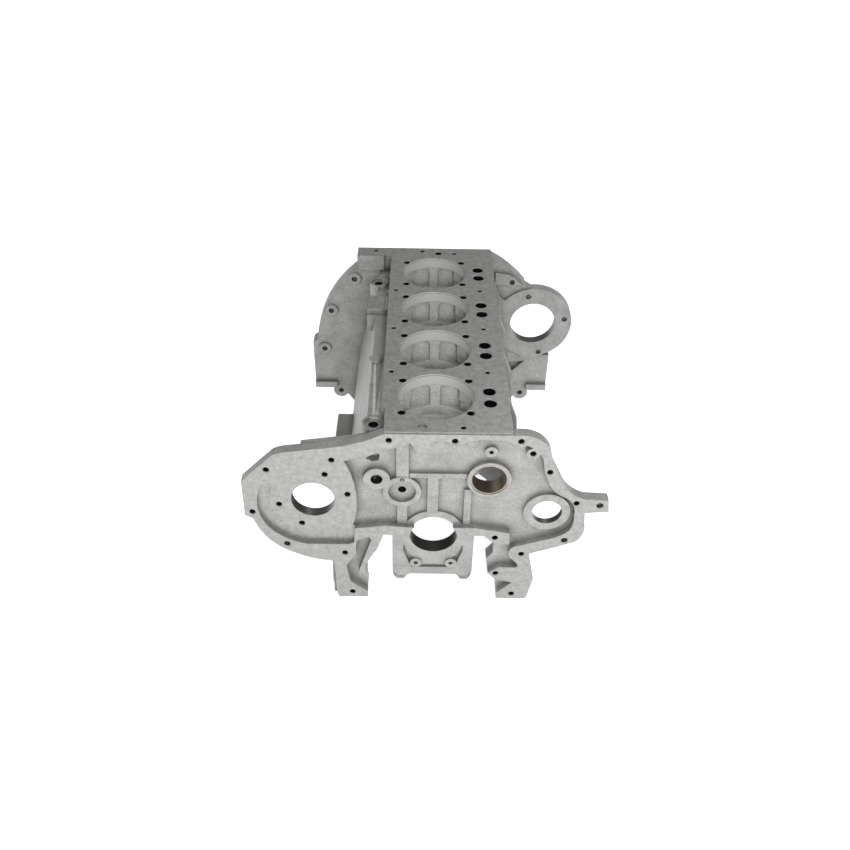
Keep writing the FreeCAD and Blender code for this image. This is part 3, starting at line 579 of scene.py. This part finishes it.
def cast_iron(name, dark, light):
    """Iron as it leaves the sand: pitted, blotched, with painted shade in its corners and its edges rounded.
    """
    skin, tree = new_material(name)
    where = node(tree, "ShaderNodeTexCoord").outputs["Object"]
    grain = node(tree, "ShaderNodeTexNoise", Vector=where, Scale=1000 / SAND_GRAIN_MM, Detail=3.0)
    blotch = node(tree, "ShaderNodeTexNoise", Vector=where, Scale=1000 / BLOTCH_MM, Detail=5.0, Roughness=0.6)
    patch = node(tree, "ShaderNodeMapRange", Value=blotch.outputs[0], i1=0.2, i2=0.8)
    tone = node(tree, "ShaderNodeMix", {"data_type": "RGBA"}, i0=patch.outputs[0], i6=linear(dark),
                i7=linear(light))
    # Painted shade: ambient occlusion darkens the colour in corners and recesses, multiplied with random
    # specks.
    corner = node(tree, "ShaderNodeAmbientOcclusion", {"samples": 8}, Distance=CORNER_SHADE_MM * MM)
    corner_shade = node(tree, "ShaderNodeMapRange", Value=corner.outputs["AO"], i1=0.3, i2=1.0, i3=0.5, i4=1.0)
    speck = node(tree, "ShaderNodeTexNoise", Vector=where, Scale=1000 / SPECK_MM, Detail=3.0, Roughness=0.7)
    fleck = node(tree, "ShaderNodeMapRange", Value=speck.outputs[0], i1=0.3, i2=0.7, i3=0.8, i4=1.15)
    shade_and_fleck = node(tree, "ShaderNodeMath", {"operation": "MULTIPLY"}, i0=corner_shade.outputs[0], i1=fleck.outputs[0])
    shaded = node(tree, "ShaderNodeMix", {"data_type": "RGBA", "blend_type": "MULTIPLY"}, i0=1.0,
                  i6=tone.outputs[2], i7=shade_and_fleck.outputs[0])
    round_edge = node(tree, "ShaderNodeBevel", {"samples": 6}, Radius=EDGE_ROUND_MM * MM)
    bump = node(tree, "ShaderNodeBump", Height=grain.outputs[0], Strength=0.8, Distance=PIT_DEPTH_MM * MM,
                Normal=round_edge.outputs[0])
    shade = node(tree, "ShaderNodeBsdfPrincipled", Base_Color=shaded.outputs[2], Metallic=0.3, Roughness=0.5,
                 Normal=bump.outputs[0])
    node(tree, "ShaderNodeOutputMaterial", Surface=shade.outputs[0])
    return skin


cast_skin = cast_iron("sand_cast_grey_iron", SKIN_DARK, SKIN_LIGHT)
inside_skin_painted_light = cast_iron("grey_iron_inside_painted_light", INSIDE_LIT_PAINTED_DEEP, INSIDE_LIT_PAINTED_PALE)

# Liner seats. The four seats for the barrels are bored in the casting and drawn matt and even, in a colour
# painted light: paler than the milled iron, it paints the bright band seen inside each opening of the deck.

# Painted light: this colour is paler than the milled iron and stands in for the bright band of light on the
# seats.
SEAT_PAINTED_LIGHT_COLOUR = "#D2D2D0"

seat_wall_painted_light, tree = new_material("liner_seat_grey_iron_painted_light")
shade = node(tree, "ShaderNodeBsdfPrincipled", Base_Color=linear(SEAT_PAINTED_LIGHT_COLOUR), Metallic=0.2, Roughness=0.45)
node(tree, "ShaderNodeOutputMaterial", Surface=shade.outputs[0])

# Milled iron, on the deck, the timing face, the sump face and the flywheel face. It is smoother and greyer,
# with a haze in its gloss and the bowed lines of a face cutter. The real feed is under a millimetre; the
# lines are drawn coarser, so that they show.

MILLED_LIGHT = "#A2A2A0"
MILLED_DARK = "#888886"
FEED_MM = 3.0
CUTTER_MM = 160.0
HAZE_MM = 9.0
MILLED_EDGE_MM = 0.5
MARK_DEPTH_MM = 0.1

milled, tree = new_material("milled_grey_iron")
where = node(tree, "ShaderNodeTexCoord").outputs["Object"]
split = node(tree, "ShaderNodeSeparateXYZ", Vector=where)
square = node(tree, "ShaderNodeMath", {"operation": "MULTIPLY"}, i0=split.outputs["X"], i1=split.outputs["X"])
bow = node(tree, "ShaderNodeMath", {"operation": "MULTIPLY"}, i0=square.outputs[0], i1=1 / (CUTTER_MM * MM))
along = node(tree, "ShaderNodeMath", {"operation": "ADD"}, i0=bow.outputs[0], i1=split.outputs["Y"])
travel = node(tree, "ShaderNodeMath", {"operation": "ADD"}, i0=along.outputs[0], i1=split.outputs["Z"])
swing = node(tree, "ShaderNodeMath", {"operation": "PINGPONG"}, i0=travel.outputs[0], i1=FEED_MM * MM / 2)
mark = node(tree, "ShaderNodeMath", {"operation": "DIVIDE"}, i0=swing.outputs[0], i1=FEED_MM * MM / 2)
haze = node(tree, "ShaderNodeTexNoise", Vector=where, Scale=1000 / HAZE_MM, Detail=6.0, Roughness=0.7)
mottle = node(tree, "ShaderNodeMapRange", Value=haze.outputs[0], i1=0.35, i2=0.65)
tone = node(tree, "ShaderNodeMix", {"data_type": "RGBA"}, i0=mottle.outputs[0], i6=linear(MILLED_DARK),
            i7=linear(MILLED_LIGHT))
round_edge = node(tree, "ShaderNodeBevel", {"samples": 4}, Radius=MILLED_EDGE_MM * MM)
bump = node(tree, "ShaderNodeBump", Height=mark.outputs[0], Strength=0.12, Distance=MARK_DEPTH_MM * MM,
            Normal=round_edge.outputs[0])
rough = node(tree, "ShaderNodeMapRange", Value=haze.outputs[0], i1=0.2, i2=0.8, i3=0.3, i4=0.48)
shade = node(tree, "ShaderNodeBsdfPrincipled", Base_Color=tone.outputs[2], Metallic=0.6,
             Roughness=rough.outputs[0], Normal=bump.outputs[0])
node(tree, "ShaderNodeOutputMaterial", Surface=shade.outputs[0])

# Bored iron, in the crankshaft, camshaft, pump, governor and starter bores. It is dark and shiny, with fine
# streaks round the bore; they are drawn coarser than the real tool marks, so that they show.

BORE_COLOUR = "#5E5E5C"
HONING_MM = 1.5
STREAK_LENGTH_MM = 8.33

bored, tree = new_material("bored_grey_iron")
where = node(tree, "ShaderNodeTexCoord").outputs["Object"]
stretched = node(tree, "ShaderNodeMapping", Vector=where,
                 Scale=(1000 / STREAK_LENGTH_MM, 1000 / HONING_MM, 1000 / STREAK_LENGTH_MM))
streak = node(tree, "ShaderNodeTexNoise", Vector=stretched.outputs[0], Scale=1.0, Detail=3.0)
rough = node(tree, "ShaderNodeMapRange", Value=streak.outputs[0], i1=0.3, i2=0.7, i3=0.25, i4=0.5)
bump = node(tree, "ShaderNodeBump", Height=streak.outputs[0], Strength=0.15, Distance=MARK_DEPTH_MM * MM)
shade = node(tree, "ShaderNodeBsdfPrincipled", Base_Color=linear(BORE_COLOUR), Metallic=0.9,
             Roughness=rough.outputs[0], Normal=bump.outputs[0])
node(tree, "ShaderNodeOutputMaterial", Surface=shade.outputs[0])

# Drilled iron, in the screw holes, stud holes and oilways: bright metal with an uneven gloss from the
# drill's swirl, mostly in the shade of its own hole.

DRILL_COLOUR = "#7A7A78"
SWIRL_MM = 1.11

drilled_wall, tree = new_material("drilled_grey_iron")
where = node(tree, "ShaderNodeTexCoord").outputs["Object"]
swirl = node(tree, "ShaderNodeTexNoise", Vector=where, Scale=1000 / SWIRL_MM, Detail=2.0)
rough = node(tree, "ShaderNodeMapRange", Value=swirl.outputs[0], i1=0.3, i2=0.7, i3=0.18, i4=0.35)
shade = node(tree, "ShaderNodeBsdfPrincipled", Base_Color=linear(DRILL_COLOUR), Metallic=1.0,
             Roughness=rough.outputs[0])
node(tree, "ShaderNodeOutputMaterial", Surface=shade.outputs[0])

# Machining of the crankcase. Each face of the casting gets its finish from the faced plane, bore or hole
# that it lies on, and is cast skin elsewhere; curved walls are shaded smooth.

AS_CAST, MILLED, BORED, DRILLED, PAINTED_LIGHT_INSIDE, SEAT = range(6)
X, Y, Z = range(3)
FACE_FIT = 0.15
LEVEL_FIT = 0.01
HOLE_REACH = 20
INSIDE_HALF_WIDTH = 100
INSIDE_FRONT = 20
INSIDE_TOP = DECK - 3
CURVE_ANGLE = math.radians(28)
FLAT_ANGLE = math.radians(0.5)


def finish_of(points, faced, bores, drilled):
    """The finish of a face, by the faced plane, bore, hole or inside space that its points lie on."""
    if any(all(abs(point[axis] - level) < FACE_FIT for point in points) for axis, level in faced):
        return MILLED
    for finish, across, a, b, radius in bores:
        if all(abs(math.hypot(point.x - a, point[across] - b) - radius) < FACE_FIT for point in points):
            return finish
    first = points[0]
    for across, a, b, radius, axis, low, high in drilled:
        if abs(first.x - a) < HOLE_REACH and abs(first[across] - b) < HOLE_REACH and all(
                math.hypot(point.x - a, point[across] - b) < radius + FACE_FIT and low < point[axis] < high
                for point in points):
            return DRILLED
    # Faces inside the crankcase get the paler copy of the skin, painted light.
    if all(abs(point.x) < INSIDE_HALF_WIDTH and INSIDE_FRONT < point.y < PLATE_FRONT and point.z < INSIDE_TOP
           for point in points):
        return PAINTED_LIGHT_INSIDE
    return AS_CAST


def finish_faces(piece, finishes, faced, bores, drilled):
    """Gives each face its finish, and smooth shading where it is part of a curved wall."""
    piece.data.materials.clear()
    for finish in finishes:
        piece.data.materials.append(finish)
    survey = bmesh.new()
    survey.from_mesh(piece.data)
    for face in survey.faces:
        points = [corner.co / MM for corner in face.verts]
        face.material_index = finish_of(points, faced, bores, drilled)
        level = any(max(point[axis] for point in points) - min(point[axis] for point in points) < LEVEL_FIT
                    for axis in (X, Y, Z))
        bends = [edge.calc_face_angle(0.0) for edge in face.edges if edge.is_manifold]
        face.smooth = not level and any(FLAT_ANGLE < bend < CURVE_ANGLE for bend in bends)
    survey.to_mesh(piece.data)
    survey.free()
    piece.data.set_sharp_from_angle(angle=CURVE_ANGLE)


REAR_SEAL = 130
SEAT_BORE = 113
SEAT_RECESS = 117
SEAT_RECESS_FLOOR = DECK - 2
END_HOLE_REACH = 40
TAPPET_REACH = 70

faced = [(Y, level) for level in (0, BEARING_FACE, BOSS_FACE, RING_FACE, FLYWHEEL_FACE)]
faced += [(Z, level) for level in (DECK, SUMP_FACE, SEAT_RECESS_FLOOR, PAD_FACE, TIE_BOSS_TOP, TIE_SEAT)]
SHAFT_BORES = [(0, 0, CRANK_BORE), (*CAMSHAFT, CAMSHAFT_BORE), (*PUMP, PUMP_BORE), (*GOVERNOR, GOVERNOR_BORE),
               (*STARTER, STARTER_BORE), (0, 0, REAR_SEAL)]
bores = [(BORED, Z, a, b, width / 2) for a, b, width in SHAFT_BORES]
bores += [(SEAT, Y, 0, y, width / 2) for y in CYLINDERS for width in (SEAT_BORE, SEAT_RECESS)]
END_HOLES = (PLATE_HOLES + sized([IDLER], IDLER_THREAD) + sized([SPRAY_JET], JET_HOLE)
             + sized([GALLERY], GALLERY_HOLE))
REAR_HOLES = sized(RIM_SCREWS + STARTER_SCREWS, RIM_HOLE)
TOP_HOLES = DECK_HOLES + sized(TIE_BOLTS, TIE_HOLE)
drilled = [(Z, a, b, width / 2, Y, -CUT_CLEAR, END_HOLE_REACH) for a, b, width in END_HOLES]
drilled += [(Z, a, b, width / 2, Y, PLATE_FRONT - 9, FLYWHEEL_FACE + CUT_CLEAR) for a, b, width in REAR_HOLES]
drilled += [(Y, a, b, width / 2, Z, DECK - TAPPET_REACH, DECK_CLEAR) for a, b, width in TOP_HOLES]
iron = (cast_skin, milled, bored, drilled_wall, inside_skin_painted_light, seat_wall_painted_light)
finish_faces(casting, iron, faced, bores, drilled)
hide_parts("crankcase")
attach(casting, "root")


# Main bearing caps. Five iron castings, bored in place with the block; each has a milled joint face and
# foot, and the first is finished at the front for the cover.

CAP_FOOT = -89
for number in range(1, 6):
    cap = merged_copy(f"main_bearing_cap_{number}", f"bearing_cap_{number}")
    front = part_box(f"main_bearing_cap_{number}")[0][Y] / MM
    finish_faces(cap, iron, [(Z, 0), (Z, CAP_FOOT), (Y, front)], [(BORED, Z, 0, 0, CRANK_BORE / 2)], [])
    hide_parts(f"main_bearing_cap_{number}")
    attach(cap, "root")


# Cap bolts. Ten forged hexagon bolts, turned up through the caps; their zinc phosphate coat is a dull
# grey, paler where it has rubbed.

PHOSPHATE_DARK = "#7A7976"
PHOSPHATE_WORN = "#9C9B98"
RUB_MM = 6.25

phosphated, tree = new_material("phosphated_bolt_steel")
where = node(tree, "ShaderNodeTexCoord").outputs["Object"]
rub = node(tree, "ShaderNodeTexNoise", Vector=where, Scale=1000 / RUB_MM, Detail=5.0)
worn = node(tree, "ShaderNodeMapRange", Value=rub.outputs[0], i1=0.45, i2=0.7)
tone = node(tree, "ShaderNodeMix", {"data_type": "RGBA"}, i0=worn.outputs[0], i6=linear(PHOSPHATE_DARK),
            i7=linear(PHOSPHATE_WORN))
shade = node(tree, "ShaderNodeBsdfPrincipled", Base_Color=tone.outputs[2], Metallic=0.5, Roughness=0.45)
node(tree, "ShaderNodeOutputMaterial", Surface=shade.outputs[0])


def refinish(node_name, material):
    """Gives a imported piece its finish."""
    for slot in bpy.data.objects[node_name].material_slots:
        slot.material = material


refinish("main_bearing_cap_bolts", phosphated)


# Camshaft bushes. Thin leaded-bronze bushes pressed into the five bulkheads and reamed in line; rings from
# the reamer run round the bore. They are drawn coarser than the real ones, so that they show.

BRONZE = "#9C9384"
REAMER_MM = 1.2
RING_LENGTH_MM = 16.67

bush_bronze, tree = new_material("reamed_leaded_bronze")
where = node(tree, "ShaderNodeTexCoord").outputs["Object"]
stretched = node(tree, "ShaderNodeMapping", Vector=where,
                 Scale=(1000 / RING_LENGTH_MM, 1000 / REAMER_MM, 1000 / RING_LENGTH_MM))
rings = node(tree, "ShaderNodeTexNoise", Vector=stretched.outputs[0], Scale=1.0, Detail=2.0)
bump = node(tree, "ShaderNodeBump", Height=rings.outputs[0], Strength=0.1, Distance=MARK_DEPTH_MM * MM)
shade = node(tree, "ShaderNodeBsdfPrincipled", Base_Color=linear(BRONZE), Metallic=0.9, Roughness=0.32,
             Normal=bump.outputs[0])
node(tree, "ShaderNodeOutputMaterial", Surface=shade.outputs[0])
for number in range(1, 6):
    refinish(f"camshaft_bush_{number}", bush_bronze)


# Core plug. A pressed-steel disc, zinc plated, that closes the rear end of the camshaft line. The plating
# has a faint spangle, drawn as a change in its gloss.

ZINC = "#A9ABAD"
SPANGLE_MM = 7.14

zinc_plate, tree = new_material("zinc_plated_steel")
where = node(tree, "ShaderNodeTexCoord").outputs["Object"]
spangle = node(tree, "ShaderNodeTexVoronoi", Vector=where, Scale=1000 / SPANGLE_MM)
rough = node(tree, "ShaderNodeMapRange", Value=spangle.outputs["Distance"], i1=0.0, i2=0.8, i3=0.28, i4=0.42)
shade = node(tree, "ShaderNodeBsdfPrincipled", Base_Color=linear(ZINC), Metallic=1.0,
             Roughness=rough.outputs[0])
node(tree, "ShaderNodeOutputMaterial", Surface=shade.outputs[0])
refinish("camshaft_core_plug", zinc_plate)
